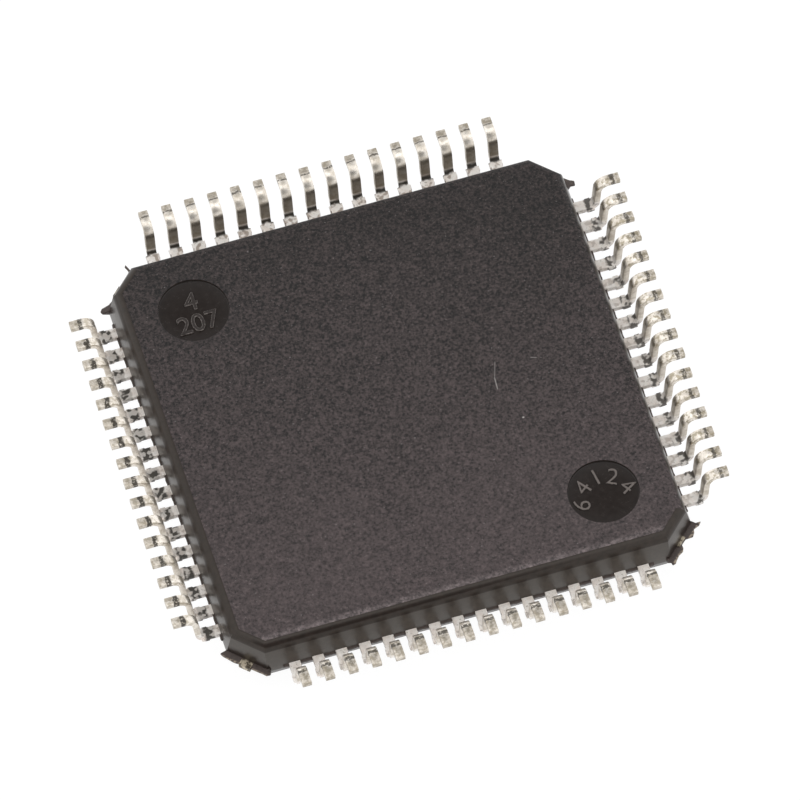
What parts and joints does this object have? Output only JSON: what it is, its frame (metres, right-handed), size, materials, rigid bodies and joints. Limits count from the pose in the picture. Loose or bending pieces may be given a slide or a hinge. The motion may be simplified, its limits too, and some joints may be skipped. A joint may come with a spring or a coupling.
{
  "type": "quad flat pack chip",
  "caption": "Low-profile quad flat pack chip, lying on its marking face: a square epoxy moulding with formed gull-wing leads along every side.",
  "frame": {"origin": "centre of the marking face, on which the chip lies; z=0 is that face", "axes": "+Z out of the underside, towards the solder faces of the feet, because the chip lies upside down as it does in a tray or on a bench; X and Y along the rows of leads. Turned half a turn about X or Y it sits on a board."},
  "size_m": [0.012, 0.012, 0.0015],
  "materials": {
    "epoxy": "filled black-brown moulding compound, spark-eroded matt faces, smooth recess floors",
    "tin": "bright electroplated tin over copper alloy, bare alloy at the sheared tips",
    "copper_alloy": "rolled copper alloy, sheared at the tie bar ends",
    "die_attach_film": "silver-filled epoxy",
    "silicon": "polished silicon",
    "gold": "gold wire"
  },
  "bodies": {
    "root": {"mould_body": "epoxy", "die_pad": "copper_alloy", "die_attach": "die_attach_film", "silicon_die": "silicon", "bond_wires_front": "gold", "bond_wires_right": "gold", "bond_wires_back": "gold", "bond_wires_left": "gold", "leads_front_1": "tin", "leads_front_2": "tin", "leads_front_3": "tin", "leads_front_4": "tin", "leads_right_1": "tin", "leads_right_2": "tin", "leads_right_3": "tin", "leads_right_4": "tin", "leads_back_1": "tin", "leads_back_2": "tin", "leads_back_3": "tin", "leads_back_4": "tin", "leads_left_1": "tin", "leads_left_2": "tin", "leads_left_3": "tin", "leads_left_4": "tin"}
  },
  "joints": []
}
